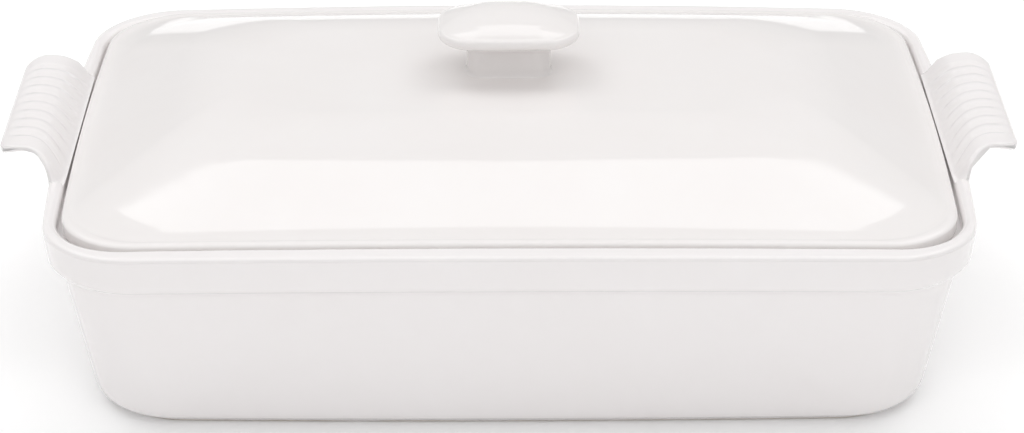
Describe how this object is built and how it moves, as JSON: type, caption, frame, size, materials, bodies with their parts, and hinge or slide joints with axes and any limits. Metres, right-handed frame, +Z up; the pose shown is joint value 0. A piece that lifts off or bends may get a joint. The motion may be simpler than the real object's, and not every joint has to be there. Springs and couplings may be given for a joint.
{
  "type": "covered casserole dish",
  "caption": "Oblong white glazed stoneware baking dish with ribbed wing handles and a low domed lid that lifts off by an oblong knob.",
  "frame": {"origin": "on the table under the middle of the dish", "axes": "+Z up out of the dish, X through the two handles, -Y towards the front of the picture"},
  "size_m": [0.377, 0.221, 0.1236],
  "materials": {
    "dish_glaze": "glossy white glaze over pale stoneware",
    "lid_glaze": "glossy white glaze over pale stoneware"
  },
  "bodies": {
    "dish": {"dish_body": "dish_glaze", "left_handle": "dish_glaze", "right_handle": "dish_glaze"},
    "lid": {"lid_shell": "lid_glaze", "lid_knob": "lid_glaze"}
  },
  "joints": [
    {"name": "lid_lift", "type": "slide", "parent": "dish", "child": "lid", "axis": [0, 0, 1], "range_m": [0, 0.15]}
  ]
}
